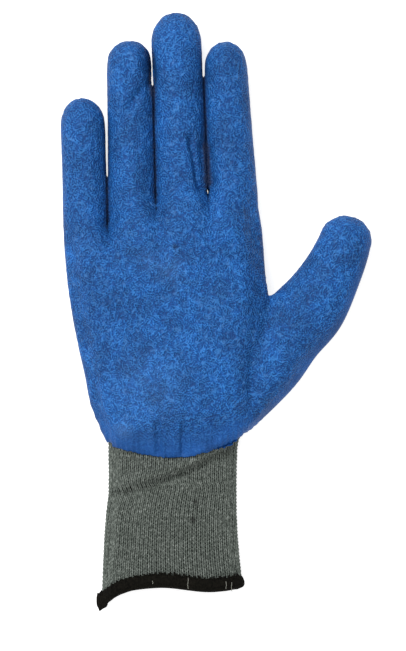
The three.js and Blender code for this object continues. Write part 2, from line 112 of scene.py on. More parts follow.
def newMaterial(name, surface):
    material = bpy.data.materials.new(name)
    material.use_nodes = True
    tree = material.node_tree
    tree.nodes.clear()
    shader = addNode(tree, "ShaderNodeBsdfPrincipled", surface)
    addNode(tree, "ShaderNodeOutputMaterial", links={"Surface": shader.outputs["BSDF"]})
    return material, tree, shader


# Of the colours below, the wrinkle ramp is painted shade in the grooves and painted highlight on the crests, the lump
# ramp painted shade in the lumps' grooves, the light fleck colour painted highlight, the pale haze colour painted
# highlight and light on the heel, and the dark stain colour real marks together with painted shade in the creases.
latexSettings = {"surface": {"Roughness": 0.6, "IOR": 1.5, "Specular IOR Level": 0.2},
                 "wrinkle": 2.0, "wrinkleBump": 0.3, "blotch": 14, "paintedGlint": 2.2,
                 "wrinkleShadeAndHighlightStops": [(0.0, "#10478D"), (0.5, "#1A5EAB"), (1.0, "#327CCA")],
                 "lumpShadeStops": [(0.0, "#E4E4E4"), (1.0, "#FFFFFF")],
                 "blotchStops": [(0.35, "#D8D8D8"), (0.65, "#FFFFFF")],
                 "paintedGlintColour": "#4C8AD2", "filmColour": "#1C539B", "paleHazeAndHighlightColour": "#6FA0DC", "stainColour": "#04102C"}


# Natural rubber latex, dipped and crinkled before it cured: matt, plump worm-like wrinkles about 1 mm apart with
# thin dark grooves between them, their darkness painted shade and the crests painted lighter, a painted highlight.
# Near the wrist the film is thin and smooth.
def latexMaterial():
    material, tree, shader = newMaterial("crinkledLatex", latexSettings["surface"])
    place = addNode(tree, "ShaderNodeTexCoord").outputs["Object"]
    smooth = attribute(tree, "smooth")
    worm = addNode(tree, "ShaderNodeTexGabor", {"gabor_type": "3D", "Scale": 1000 / latexSettings["wrinkle"],
                                                "Frequency": 2.0, "Anisotropy": 0.0}, {"Vector": place})
    plump = addNode(tree, "ShaderNodeMapRange", {"interpolation_type": "SMOOTHSTEP", "From Min": 0.3,
                                                 "From Max": 0.7}, {"Value": worm.outputs["Value"]}).outputs["Result"]
    blotch = addNode(tree, "ShaderNodeTexNoise", {"Scale": 1000 / latexSettings["blotch"], "Detail": 3.0},
                     {"Vector": place})
    # Light specks over the film: painted highlight, small glints
    spot = addNode(tree, "ShaderNodeTexNoise", {"Scale": 1000 / latexSettings["paintedGlint"], "Detail": 1.0},
                   {"Vector": place})
    paintedGlint = addNode(tree, "ShaderNodeMapRange", {"From Min": 0.6, "From Max": 0.78, "To Max": 0.55},
                    {"Value": spot.outputs["Fac"]})
    # Painted shade in the grooves of the coarse lumps
    lumpShadeTone = ramp(tree, attribute(tree, "lumpShade"), latexSettings["lumpShadeStops"])
    # Painted shade in the grooves and painted highlight on the crests of the wrinkles
    lumpShaded = multiplied(tree, ramp(tree, plump, latexSettings["wrinkleShadeAndHighlightStops"]), lumpShadeTone)
    glinted = overlaid(tree, paintedGlint.outputs["Result"], lumpShaded, latexSettings["paintedGlintColour"])
    film = overlaid(tree, smooth, glinted, latexSettings["filmColour"])
    toned = multiplied(tree, film, ramp(tree, blotch.outputs["Fac"], latexSettings["blotchStops"]))
    # Pale patches; on the heel they are a painted highlight and painted light
    paleHazedAndHighlighted = overlaid(tree, attribute(tree, "paleHazeAndHighlight"), toned, latexSettings["paleHazeAndHighlightColour"])
    stained = overlaid(tree, attribute(tree, "stain"), paleHazedAndHighlighted, latexSettings["stainColour"])
    tree.links.new(stained, shader.inputs["Base Color"])
    rough = addNode(tree, "ShaderNodeMath", {"operation": "SUBTRACT", 0: 1.0}, {1: smooth})
    height = addNode(tree, "ShaderNodeMath", {"operation": "MULTIPLY"}, {0: plump, 1: rough.outputs[0]})
    bump = addNode(tree, "ShaderNodeBump", {"Strength": 1.0, "Distance": latexSettings["wrinkleBump"] * mm},
                   {"Height": height.outputs[0]})
    tree.links.new(bump.outputs["Normal"], shader.inputs["Normal"])
    return material


yarnSettings = {"roughness": 0.95, "stainColour": "#12120E", "fibre": 0.3, "fibreBump": 0.1}


# Spun yarn, dull and slightly hairy. Its fibres run through the stops of colour, fibreScale apart.
def yarnMaterial(name, stops, fibreScale, surface):
    material, tree, shader = newMaterial(name, {"Roughness": yarnSettings["roughness"], **surface})
    place = addNode(tree, "ShaderNodeTexCoord").outputs["Object"]
    melange = addNode(tree, "ShaderNodeTexNoise", {"Scale": 1000 / fibreScale, "Detail": 4.0, "Roughness": 0.7},
                      {"Vector": place})
    tone = ramp(tree, melange.outputs["Fac"], stops)
    stained = overlaid(tree, attribute(tree, "stain"), tone, yarnSettings["stainColour"])
    tree.links.new(stained, shader.inputs["Base Color"])
    fibre = addNode(tree, "ShaderNodeTexNoise", {"Scale": 1000 / yarnSettings["fibre"], "Detail": 2.0},
                    {"Vector": place})
    bump = addNode(tree, "ShaderNodeBump", {"Strength": 0.6, "Distance": yarnSettings["fibreBump"] * mm},
                   {"Height": fibre.outputs["Fac"]})
    tree.links.new(bump.outputs["Normal"], shader.inputs["Normal"])
    return material


# Heather polyester and cotton for the knit, a plain black thread for the hem, and a pale one for its loose ends
latex = latexMaterial()
wool = {"Specular IOR Level": 0.15, "Sheen Weight": 0.1}
yarn = yarnMaterial("heatherYarn", [(0.3, "#3D433F"), (0.45, "#555C56"), (0.58, "#717872"), (0.72, "#969C96")], 1.3,
                    wool)
# The backing is a darker copy of the yarn: painted shade between the stitches
shadeBacking = yarnMaterial("knitBackingPaintedShade", [(0.3, "#151816"), (0.7, "#2C302D")], 1.0, wool)
overlock = yarnMaterial("overlockThread", [(0.35, "#050504"), (0.7, "#1B1914")], 0.8, {"Specular IOR Level": 0.08})
looseThread = yarnMaterial("looseThread", [(0.3, "#6E6E66"), (0.7, "#9C9C92")], 1.0, wool)


# Meshes

weld = 0.02  # corners closer than this become one


def looseCopy(names):
    bm = bmesh.new()
    for name in names:
        bm.from_mesh(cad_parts[name].data)
    bmesh.ops.remove_doubles(bm, verts=bm.verts, dist=weld * mm)
    return bm


def meshOf(bm, name="step"):
    mesh = bpy.data.meshes.new(name)
    bm.to_mesh(mesh)
    return mesh


def addObject(name, bm, material):
    mesh = meshOf(bm, name)
    bm.free()
    mesh.polygons.foreach_set("use_smooth", [True] * len(mesh.polygons))
    mesh.materials.append(material)
    piece = bpy.data.objects.new(name, mesh)
    scene.collection.objects.link(piece)
    return piece


# The mesh of an object after its modifiers or bevel, the object itself goes
def evaluatedMesh(step):
    scene.collection.objects.link(step)
    mesh = bpy.data.meshes.new_from_object(step.evaluated_get(bpy.context.evaluated_depsgraph_get()))
    bpy.data.objects.remove(step)
    bm = bmesh.new()
    bm.from_mesh(mesh)
    bpy.data.meshes.remove(mesh)
    return bm


def subdivided(bm, levels):
    mesh = meshOf(bm)
    step = bpy.data.objects.new("rounding", mesh)
    modifier = step.modifiers.new("rounding", "SUBSURF")
    modifier.levels = modifier.render_levels = levels
    result = evaluatedMesh(step)
    bpy.data.meshes.remove(mesh)
    return result


# Rounds a faceted copy. The cage is first pushed out by what rounding would take off, so the size stays.
def rounded(bm, levels):
    bmesh.ops.join_triangles(bm, faces=bm.faces, angle_face_threshold=0.9, angle_shape_threshold=1.2)
    shrunk = BVHTree.FromBMesh(subdivided(bm, levels))
    for vert in bm.verts:
        vert.co += vert.co - shrunk.find_nearest(vert.co)[0]
    return subdivided(bm, levels)


def pointTree(verts):
    tree = kdtree.KDTree(len(verts))
    for index, vert in enumerate(verts):
        tree.insert(vert.co, index)
    tree.balance()
    return tree


# Splits a mesh into its separate islands of vertices
def islands(bm):
    left = set(bm.verts)
    found = []
    while left:
        stack = [left.pop()]
        island = set(stack)
        while stack:
            for edge in stack.pop().link_edges:
                for vert in edge.verts:
                    if vert in left:
                        left.remove(vert)
                        island.add(vert)
                        stack.append(vert)
        found.append(island)
    return found


def clamped(share, least=0.0):
    return min(1.0, max(least, share))


def segmentDistance(x, y, start, end):
    dx, dy = end[0] - start[0], end[1] - start[1]
    share = clamped(((x - start[0]) * dx + (y - start[1]) * dy) / (dx * dx + dy * dy))
    return math.hypot(x - start[0] - share * dx, y - start[1] - share * dy)


# Dents, marks and the fold of the cuff

# Dents of the palm side, from x, y to x, y, depth, width
dents = [
    ((16.3, -16.5), (15.0, -44.2), 1.2, 2.8), ((28.2, -16.5), (26.8, -26.2), 0.5, 4.0),
    ((-11.0, 76.3), (-6.6, 54.8), 2.1, 1.7), ((-5.2, 72.0), (-3.2, 58.0), 1.5, 3.0),
    ((-37.8, 90.4), (-32.1, 97.9), 1.8, 2.2), ((-30.0, 114.0), (-28.5, 97.0), 1.2, 2.6),
    ((-25.5, -49.5), (-25.0, -61.5), 1.4, 1.5), ((-14.5, -49.5), (-14.5, -61.5), 1.4, 1.5),
    ((-12.3, -36.0), (-12.3, -42.0), 0.8, 1.8), ((-39.2, -50.0), (-39.2, -51.5), -0.8, 3.0),
]

# Small dark marks and wide pale hazes, from x, y, radius, strength. They lie only above markFloor, on the palm side.
# The two hazes on the heel, at -40.5, -51.0 and at -30.0, -34.0, are a painted highlight and painted light.
coatMarks = [(-18.0, 28.8, 1.4, 0.75), (-16.0, 27.0, 0.7, 0.6), (-53.2, -31.9, 0.4, 0.7)]
paleHazesAndHighlights = [(-29.0, 22.5, 5.0, 0.06), (-20.0, 19.0, 6.5, 0.07), (-40.5, -51.0, 4.5, 0.14), (-30.0, -34.0, 17.0, 0.06)]
knitMarks = [(-10.1, -91.3, 1.2, 0.95), (-9.2, -83.4, 1.0, 0.9), (-15.0, -99.2, 0.8, 0.7), (-8.5, -86.0, 0.6, 0.6)]
markFloor = 5

# A soft ridge along the fold with a sharp valley below it, fading out towards both ends
foldSettings = {"path": [(-52, -81.5), (-45.3, -79.4), (-29, -75), (-14.5, -70.2), (-2, -63.6), (9.2, -57.4)],
                "ridge": 1.3, "ridgeAway": 3.2, "ridgeWidth": 2.6, "valley": 1.8, "valleyAway": -0.8,
                "valleyWidth": 1.2, "highest": -45, "facing": 0.2, "right": 6.5, "rightFade": 4, "left": -54,
                "leftFade": 14, "leftLeast": 0.2}


def dentDepth(x, y):
    return sum(depth * math.exp(-(segmentDistance(x, y, start, end) / width) ** 2)
               for start, end, depth, width in dents)


def markAt(co, marks):
    x, y = co.x / mm, co.y / mm
    if co.z < markFloor * mm:
        return 0.0
    return max(strength * math.exp(-(math.hypot(x - mx, y - my) / radius) ** 3) for mx, my, radius, strength in marks)


# Distance to a path, negative on its right
def pathSide(x, y, path):
    start, end = min(zip(path, path[1:]), key=lambda span: segmentDistance(x, y, *span))
    cross = (end[0] - start[0]) * (y - start[1]) - (end[1] - start[1]) * (x - start[0])
    return math.copysign(segmentDistance(x, y, start, end), cross)


def foldLift(vert):
    fold = foldSettings
    if vert.normal.z <= fold["facing"] or vert.co.y >= fold["highest"] * mm:
        return Vector()
    x = vert.co.x / mm
    away = pathSide(x, vert.co.y / mm, fold["path"])
    lift = fold["ridge"] * math.exp(-((away - fold["ridgeAway"]) / fold["ridgeWidth"]) ** 2)
    lift -= fold["valley"] * math.exp(-((away - fold["valleyAway"]) / fold["valleyWidth"]) ** 2)
    lift *= min(1.0, (vert.normal.z - fold["facing"]) * 2) * clamped((fold["right"] - x) / fold["rightFade"])
    lift *= clamped((x - fold["left"]) / fold["leftFade"], fold["leftLeast"])
    return Vector((0, 0, lift * mm))


# Liner, its skins carry the yarn, and it becomes the backing at the end

linerSettings = {"seam": 0.45, "rimReach": 0.6, "rounding": 2, "dentSpare": 0.5, "recess": 0.85}


# The knitted tubes joined into one seamless liner: the end faces between two tubes go, their rims are welded
def linerSkins():
    seam = linerSettings["seam"] * mm
    reach = linerSettings["rimReach"] * mm
    copies = {name: looseCopy([name]) for name in knitNodes}
    trees = {name: pointTree(bm.verts) for name, bm in copies.items()}
    hemSurface = BVHTree.FromBMesh(looseCopy(["cuff_hem"]))
    whole = bmesh.new()
    for name, bm in copies.items():
        others = [tree for other, tree in trees.items() if other != name]
        twins = {v for v in bm.verts if min(tree.find(v.co)[2] for tree in others) < seam}
        ends = [f for f in bm.faces if all(v in twins for v in f.verts)]
        if name == "knit_cuff":  # the face of the rim, wrapped by the hem, goes too
            bm.normal_update()
            ends += [f for f in bm.faces
                     if f.normal.y < -0.5 and all(hemSurface.find_nearest(v.co)[3] < reach for v in f.verts)]
        bmesh.ops.delete(bm, geom=list(set(ends)), context="FACES")
        mesh = meshOf(bm)
        bm.free()
        whole.from_mesh(mesh)
        bpy.data.meshes.remove(mesh)
    bmesh.ops.remove_doubles(whole, verts=whole.verts, dist=seam)
    return whole


liner = rounded(linerSkins(), linerSettings["rounding"])
liner.normal_update()
innerSkin, outerSkin = sorted(islands(liner), key=lambda island: max(v.co.y for v in island))
for vert in outerSkin:
    vert.co += foldLift(vert)
    if vert.normal.z > 0:  # deep dents reach the knit under the coat
        depth = max(0.0, dentDepth(vert.co.x / mm, vert.co.y / mm) - linerSettings["dentSpare"])
        vert.co -= vert.normal * depth * mm
liner.normal_update()
liner.verts.index_update()
outerFaces = liner.copy()
outerFaces.verts.ensure_lookup_table()
bmesh.ops.delete(outerFaces, geom=[outerFaces.verts[v.index] for v in innerSkin], context="VERTS")
skin = BVHTree.FromBMesh(outerFaces)
rimPoints = [v.co / mm for v in outerFaces.verts if v.is_boundary]
outerFaces.free()
say("liner skins joined")


# Coat

coatSettings = {"rounding": 2, "filmUnder": 0.8, "splits": 2, "longestEdge": 1.0, "ridgeWave": 5.0, "ridgeDepth": 0.3,
                "warpScale": 0.6, "warp": 0.9, "grooveWidth": 0.16, "edgeThin": 0.8, "edgeWidth": 3.5, "ribWave": 2.3,
                "ribDepth": 0.22, "bandWidth": 13, "sideBand": 7, "bandCurve": 0.6, "filmSmooth": 0.8, "ragged": 0.5,
                "raggedWave": 1.1, "raggedWidth": 2, "lumpFade": 0.5, "lumpFadeFrom": 15, "lumpFadeOver": 50,
                "wristTop": -40, "wristSides": (-52, 14), "skirt": 1.5, "seed": 4}
noise.seed_set(coatSettings["seed"])  # without it noise_vector differs at each start

# Creases between fingers, looked for across the gap and level with the table. Their sides get painted shade, darker
# the narrower the gap and darkest where they touch. Sides closer than touch are pressed together, where the fingers
# touch: stretches from x to x and from y to y.
# The darkness set here is painted shade in the creases, on open sides and, stronger, where the fingers touch
creaseSettings = {"lowest": 20, "steep": 0.9, "offset": 0.02, "reach": 4, "creaseShade": 0.7, "touch": 2.4, "soften": 0.8,
                  "overlap": 0.05, "stain": 0.95, "shadeGap": 2.1,
                  "touches": [((-55, -42), (30, 60)), ((-34, -24), (40, 100)), ((-9, 2), (54, 104))]}


# Height of the worm-like ridges, 0 in a groove and 1 on a crest
def ridgeHeight(co):
    place = co / (coatSettings["ridgeWave"] * mm)
    warp = noise.noise_vector(place * coatSettings["warpScale"]) * coatSettings["warp"]
    return math.exp(-(noise.noise(place + warp) / coatSettings["grooveWidth"]) ** 2)


def touching(x, y):
    return any(xs[0] < x < xs[1] and ys[0] < y < ys[1] for xs, ys in creaseSettings["touches"])


# At the side of a finger: how dark the painted shade in the crease is, the move towards its neighbour and how far it
# closes
def creaseAt(vert):
    crease = creaseSettings
    x, y = vert.co.x / mm, vert.co.y / mm
    level = Vector((vert.normal.x, vert.normal.y, 0)).normalized()
    gap = None
    if y > crease["lowest"] and abs(vert.normal.z) < crease["steep"]:
        gap = smoothCoat.ray_cast(vert.co + level * crease["offset"] * mm, level, crease["reach"] * mm)[3]
    if gap is None:
        return 0.0, Vector(), 0.0
    gap /= mm
    creaseShade = crease["creaseShade"] * (1 - gap / crease["reach"])
    if gap >= crease["touch"] or not touching(x, y):
        return creaseShade, Vector(), 0.0
    closed = min(1.0, (crease["touch"] - gap) / crease["soften"])
    press = level * (gap / 2 + crease["overlap"]) * closed
    # Sides pressed together get the strongest painted shade
    return max(creaseShade, crease["stain"] * min(1.0, crease["shadeGap"] - gap * (1 - closed))), press, closed


coat = looseCopy(["latex_coating"])
knitTree = BVHTree.FromBMesh(looseCopy(knitNodes))
under = [v for v in coat.verts if knitTree.find_nearest(v.co)[3] < coatSettings["filmUnder"] * mm]
bmesh.ops.delete(coat, geom=under, context="VERTS")
coat = rounded(coat, coatSettings["rounding"])
bmesh.ops.triangulate(coat, faces=coat.faces)
for step in range(coatSettings["splits"]):
    longEdges = [e for e in coat.edges if e.calc_length() > coatSettings["longestEdge"] * mm]
    bmesh.ops.subdivide_edges(coat, edges=longEdges, cuts=1)
    bmesh.ops.triangulate(coat, faces=coat.faces)
say("coat triangles " + str(len(coat.faces)))

coat.normal_update()
border = [v for v in coat.verts if v.is_boundary]
wristLeft, wristRight = coatSettings["wristSides"]
wristBorder = [v for v in border
               if v.co.y < coatSettings["wristTop"] * mm and wristLeft * mm < v.co.x < wristRight * mm]
borderTree, wristTree = pointTree(border), pointTree(wristBorder)
lumpShadeLayer = coat.verts.layers.float.new("lumpShade")
smoothLayer = coat.verts.layers.float.new("smooth")
markAndShadeLayer = coat.verts.layers.float.new("stain")
paleHazeAndHighlightLayer = coat.verts.layers.float.new("paleHazeAndHighlight")
smoothCoat = BVHTree.FromBMesh(coat)
moves = []
for vert in coat.verts:
    x, y = vert.co.x / mm, vert.co.y / mm
    edge = borderTree.find(vert.co)[2] / mm
    wrist = wristTree.find(vert.co)[2] / mm
    # 1 at the edge, where the film is plain and thin, to 0 where it is crinkled
    band = max(0.0, 1 - wrist / coatSettings["bandWidth"])
    sideBand = max(0.0, 1 - edge / coatSettings["sideBand"])
    plain = max(band ** coatSettings["bandCurve"], sideBand ** coatSettings["bandCurve"])
    ridge = ridgeHeight(vert.co)
    height = ridge * (1 - plain) * coatSettings["ridgeDepth"]
    height += band * coatSettings["ribDepth"] * math.cos(2 * math.pi * x / coatSettings["ribWave"])
    height -= coatSettings["edgeThin"] * max(0.0, 1 - edge / coatSettings["edgeWidth"]) ** 2
    if vert.normal.z > 0:
        height -= dentDepth(x, y)
    creaseShade, press, closed = creaseAt(vert)
    height *= 1 - closed
    # The stain attribute carries painted shade in the creases together with the real dark marks
    vert[markAndShadeLayer] = max(creaseShade, markAt(vert.co, coatMarks))
    # Pale patches, on the heel a painted highlight and painted light
    vert[paleHazeAndHighlightLayer] = markAt(vert.co, paleHazesAndHighlights)
    # the lumps show less towards the fingertips, and the colour comes out darker there
    fade = coatSettings["lumpFade"] * clamped((y - coatSettings["lumpFadeFrom"]) / coatSettings["lumpFadeOver"])
    # This attribute darkens the colour in the lumps' grooves: painted shade
    vert[lumpShadeLayer] = ridge * (1 - plain) * (1 - fade)
    vert[smoothLayer] = plain * coatSettings["filmSmooth"]
    ragged = coatSettings["ragged"] * noise.noise(Vector((x / coatSettings["raggedWave"], 4.7, 2.2)))
    ragged *= max(0.0, 1 - wrist / coatSettings["raggedWidth"])
    moves.append((vert, (vert.normal * height + press + Vector((0, ragged, 0))) * mm + foldLift(vert)))
for vert, move in moves:
    vert.co += move

# A skirt turns the film's edge down into the knit
coat.normal_update()
coatTree = BVHTree.FromBMesh(coat)
coatBorder = [e for e in coat.edges if e.is_boundary]
inward = {v: v.co - v.normal * coatSettings["skirt"] * mm for v in coat.verts if v.is_boundary}
skirt = bmesh.ops.extrude_edge_only(coat, edges=coatBorder)
for vert in [v for v in skirt["geom"] if isinstance(v, bmesh.types.BMVert)]:
    near = next(e.other_vert(vert) for e in vert.link_edges if e.other_vert(vert) in inward)
    vert.co = inward[near]
bmesh.ops.recalc_face_normals(coat, faces=coat.faces)
coatPiece = addObject("latexCoat", coat, latex)
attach(coatPiece, "root")
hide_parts("latex_coating")
say("coat built")


# Knit, the stitches are real loops of yarn over a darker backing, whose darkness is painted shade between them

# sample: the distance along a tube between two cross-sections. sway and pair: sideways, in wales. rise: in courses.
knitSettings = {"radius": 0.35, "depth": 0.36, "sway": 0.19, "pair": 0.03, "rise": -0.85, "points": 8, "shortest": 4,
                "sample": 0.4, "walkStep": 2, "longestStep": 6, "coverLift": 1.3, "coverMargin": 2.2,
                "coverReach": 3.5}
nodeTrees = {name: BVHTree.FromBMesh(looseCopy([name])) for name in knitNodes}


def nearestNode(co):
    return min(nodeTrees, key=lambda name: nodeTrees[name].find_nearest(co)[3])


# Hidden under the coat, apart from a margin that runs under its edge
def covered(co, normal):
    if borderTree.find(co + normal * knitSettings["coverLift"] * mm)[2] < knitSettings["coverMargin"] * mm:
        return False
    return coatTree.ray_cast(co, normal, knitSettings["coverReach"] * mm)[0] is not None


# Walks round the skin in one cross-section, both ways from the middle of the back, and gives a function from
# arc length to a point and its normal. rayOf gives the start and direction of the ray at an angle.
def section(rayOf):
    walk = []
    for side in (-1, 1):
        length, last, half = 0.0, None, []
        for degrees in range(0, 181, knitSettings["walkStep"]):
            start, direction = rayOf(math.radians(-90 + side * degrees))
            hit, normal = skin.ray_cast(start, direction)[:2]
            if hit is None or (last is not None and (hit - last).length > knitSettings["longestStep"] * mm):
                break
            length += (hit - last).length if last is not None else 0.0
            half.append((side * length, hit, normal))
            last = hit
        walk = half[:0:-1] if side < 0 else walk + half
    arcs = [step[0] for step in walk]

    def at(arc, closed=False):
        if closed:
            arc = (arc - arcs[0]) % at.girth + arcs[0]
        if not walk or arc < arcs[0] or arc > arcs[-1]:
            return None
        high = max(1, bisect.bisect_left(arcs, arc))
        span = arcs[high] - arcs[high - 1]
        share = (arc - arcs[high - 1]) / span if span > 0 else 0.0
        before, after = walk[high - 1], walk[high]
        return before[1].lerp(after[1], share), before[2].lerp(after[2], share).normalized()

    at.girth = arcs[-1] - arcs[0] if walk else 0.0
    return at


def addRun(curve, run, closed=False):
    spline = curve.splines.new("POLY")
    spline.points.add(len(run) - 1)
    for point, co in zip(spline.points, run):
        point.co = (*co, 1)
    spline.use_cyclic_u = closed


def newCurve(name, radius):
    curve = bpy.data.curves.new(name, "CURVE")
    curve.dimensions = "3D"
    curve.bevel_depth = radius * mm
    curve.bevel_resolution = 0
    curve.use_fill_caps = True
    return curve


def curvePiece(name, curve, material):
    bm = evaluatedMesh(bpy.data.objects.new(name, curve))
    stains = bm.verts.layers.float.new("stain")
    for vert in bm.verts:
        vert[stains] = markAt(vert.co, knitMarks)
    return addObject(name, bm, material)


# Lays the courses of one tube between two distances along it. sectionAt gives the section at a distance, waleAt the
# wale width there, and owns tells whether a point belongs to this tube and can be seen.
def layCourses(curve, sectionAt, waleAt, rows, settings, owns, closed=False):
    radius, depth, sample = knitSettings["radius"], knitSettings["depth"], knitSettings["sample"]
    course, wales, count = settings["course"], settings["wales"], knitSettings["points"]
    cache = {}

    def place(u, along):
        low = math.floor(along / sample)
        for row in (low, low + 1):
            if row not in cache:
                cache[row] = sectionAt(row * sample)
        share = along / sample - low
        found = [cache[row](u * waleAt(row * sample, cache[row]), closed) for row in (low, low + 1)]
        if None in found:
            return None
        return found[0][0].lerp(found[1][0], share), found[0][1].lerp(found[1][1], share).normalized()

    first, last = rows
    for row in range(int((last - first) / course) + 1):
        middle = first + row * course
        run = []
        for step in range(wales * count):
            t = 2 * math.pi * step / count
            u = t / (2 * math.pi) - wales / 2
            u += knitSettings["sway"] * math.sin(2 * t) + knitSettings["pair"] * math.sin(t)
            found = place(u, middle + knitSettings["rise"] * course * math.cos(t))
            keep = found is not None and owns(*found)
            if keep:
                co, normal = found
                out = -(radius + depth) - depth * math.cos(2 * t)
                co = co + normal * out * mm
                co.z = max(co.z, radius * mm)
                run.append(co)
            if (not keep or step == wales * count - 1) and run:
                whole = closed and len(run) == wales * count
                if len(run) >= knitSettings["shortest"]:
                    addRun(curve, run, whole)
                run = []


# Cuff. Distances run from the wrist line at 0 down to the rim, negative ones run up the hand.

cuffSettings = {"wales": 67, "course": 1.6, "rows": (-1.0, 70.4), "axis": (-19.0, 6.5), "halves": (30, 6.5),
                "wristY": -50, "length": 71.0, "rimGap": 0.2}
axisX, axisZ = cuffSettings["axis"]
halfX, halfZ = cuffSettings["halves"]


def rimAngle(x, z):
    return math.atan2((z - axisZ) / halfZ, (x - axisX) / halfX)


rimByAngle = sorted((rimAngle(p.x, p.z), p.y) for p in rimPoints)


# The rim isn't straight, this is its y at an angle round the cuff
def rimY(angle):
    angle = math.atan2(math.sin(angle), math.cos(angle))
    above = next((i for i, pair in enumerate(rimByAngle) if pair[0] >= angle), 0)
    (a0, y0), (a1, y1) = rimByAngle[above - 1], rimByAngle[above]
    gap = (a1 - a0) % (2 * math.pi)
    share = ((angle - a0) % (2 * math.pi)) / gap if gap > 0 else 0.0
    return y0 + (y1 - y0) * share


def cuffSection(along):
    top = cuffSettings["wristY"]
    share = along / cuffSettings["length"]

    def rayOf(angle):
        y = top - along if along < 0 else top + (rimY(angle) + cuffSettings["rimGap"] - top) * share
        return (Vector((axisX * mm, y * mm, axisZ * mm)),
                Vector((math.cos(angle) * halfX, 0, math.sin(angle) * halfZ)).normalized())
    return section(rayOf)


cuffCurve = newCurve("cuffYarn", knitSettings["radius"])
layCourses(cuffCurve, cuffSection, lambda along, at: at.girth / cuffSettings["wales"], cuffSettings["rows"],
           cuffSettings, lambda co, normal: not covered(co, normal), True)
cuffYarn = curvePiece("cuffStitches", cuffCurve, yarn)
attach(cuffYarn, "root")
say("cuff stitches " + str(len(cuffYarn.data.polygons)))


# Hand and fingers. The hand's courses run up to the crotches at rootY, past them each finger's own begin.

handSettings = {"wales": 64, "course": 1.9, "rows": (-93.9, -2.0), "wale": 2.02, "widening": 0.009, "rootY": 42.3,
                "littleX": -47, "littleRootY": 31, "thumbX": 17, "thumbY": (-7, 8), "overlap": 1.3}
fingerSettings = {"wales": 26, "course": 1.9, "wale": 2.2, "start": -13.3, "thumbStart": -26.6, "tipGap": 3,
                  "halves": (9, 7)}


# A finger's axis, from the middle of its root to its tip
def tubeAxis(name):
    places = [v.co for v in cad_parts[name].data.vertices]
    root = [co for co in places if nodeTrees["knit_hand"].find_nearest(co)[3] < linerSettings["seam"] * mm]
    base = sum(root, Vector()) / len(root)
    tip = max(places, key=lambda co: (co - base).length)
    return base, Vector((tip.x - base.x, tip.y - base.y, 0)).normalized(), (tip - base).length / mm


axes = {name: tubeAxis(name) for name in knitNodes if name not in ("knit_hand", "knit_cuff")}


# Whose courses cover a point. A spare above 0 adds it to the hand, one below 0 to the fingers.
def ownerOf(co, spare):
    near = nearestNode(co)
    x, y = co.x / mm, co.y / mm
    if near in axes:
        return near
    low, high = handSettings["thumbY"]
    if x > handSettings["thumbX"] + spare and low + spare < y < high - spare:
        return "knit_thumb"
    if y > handSettings["littleRootY" if x < handSettings["littleX"] else "rootY"] + spare:
        fingers = [name for name in axes if name != "knit_thumb"]
        return min(fingers, key=lambda name: (co - axes[name][0]).cross(axes[name][1]).length)
    return "hand"


handCurve = newCurve("handYarn", knitSettings["radius"])
layCourses(handCurve, cuffSection,
           lambda along, at: (handSettings["wale"] - handSettings["widening"] * along) * mm,
           handSettings["rows"], handSettings,
           lambda co, normal: ownerOf(co, handSettings["overlap"]) == "hand" and not covered(co, normal))
handYarn = curvePiece("handStitches", handCurve, yarn)
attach(handYarn, "root")
say("hand stitches " + str(len(handYarn.data.polygons)))

fingerCurve = newCurve("fingerYarn", knitSettings["radius"])
halfAcross, halfUp = fingerSettings["halves"]
for name, (base, axis, reach) in axes.items():
    across = axis.cross(Vector((0, 0, 1)))

    def fingerSection(along, base=base, axis=axis, across=across):
        start = base + axis * along * mm
        return section(lambda angle: (start, (across * math.cos(angle) * halfAcross
                                              + Vector((0, 0, math.sin(angle) * halfUp))).normalized()))

    first = fingerSettings["thumbStart" if name == "knit_thumb" else "start"]
    layCourses(fingerCurve, fingerSection, lambda along, at: fingerSettings["wale"] * mm,
               (first, reach - fingerSettings["tipGap"]), fingerSettings,
               lambda co, normal, name=name: (ownerOf(co, -handSettings["overlap"]) == name
                                              and not covered(co, normal)))
fingerYarn = curvePiece("fingerStitches", fingerCurve, yarn)
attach(fingerYarn, "root")
say("finger stitches " + str(len(fingerYarn.data.polygons)))

# The backing lies under the yarn, its outside is drawn in and closed to its inside at the cuff's mouth. Its dark
# colour is painted shade between the stitches.
for vert in outerSkin:
    vert.co -= vert.normal * linerSettings["recess"] * mm
bmesh.ops.bridge_loops(liner, edges=[e for e in liner.edges if e.is_boundary])
bmesh.ops.recalc_face_normals(liner, faces=liner.faces)
linerPiece = addObject("knitBackingPaintedShade", liner, shadeBacking)
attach(linerPiece, "root")
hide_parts(*knitNodes)
say("backing built")


# Overlocked edge: a dark band, wrapped in thread

hemSettings = {"rounding": 1, "shrink": 0.35, "left": -48, "swell": 1.1, "swellLeft": -49, "swellFade": 2,
               "swellY": -126.5, "swellReach": 5, "point": 0.9, "pointFade": 3, "pointY": -126, "pointReach": 4,
               "right": 9.5, "rightFade": 1.5, "corner": 2.2}
hem = rounded(looseCopy(["cuff_hem"]), hemSettings["rounding"])
hem.normal_update()
for vert in hem.verts:
    vert.co -= vert.normal * hemSettings["shrink"] * mm
endVerts = [v for v in hem.verts if v.co.x > hemSettings["right"] * mm]
endTop, endLow = max(v.co.y for v in endVerts), min(v.co.y for v in endVerts)


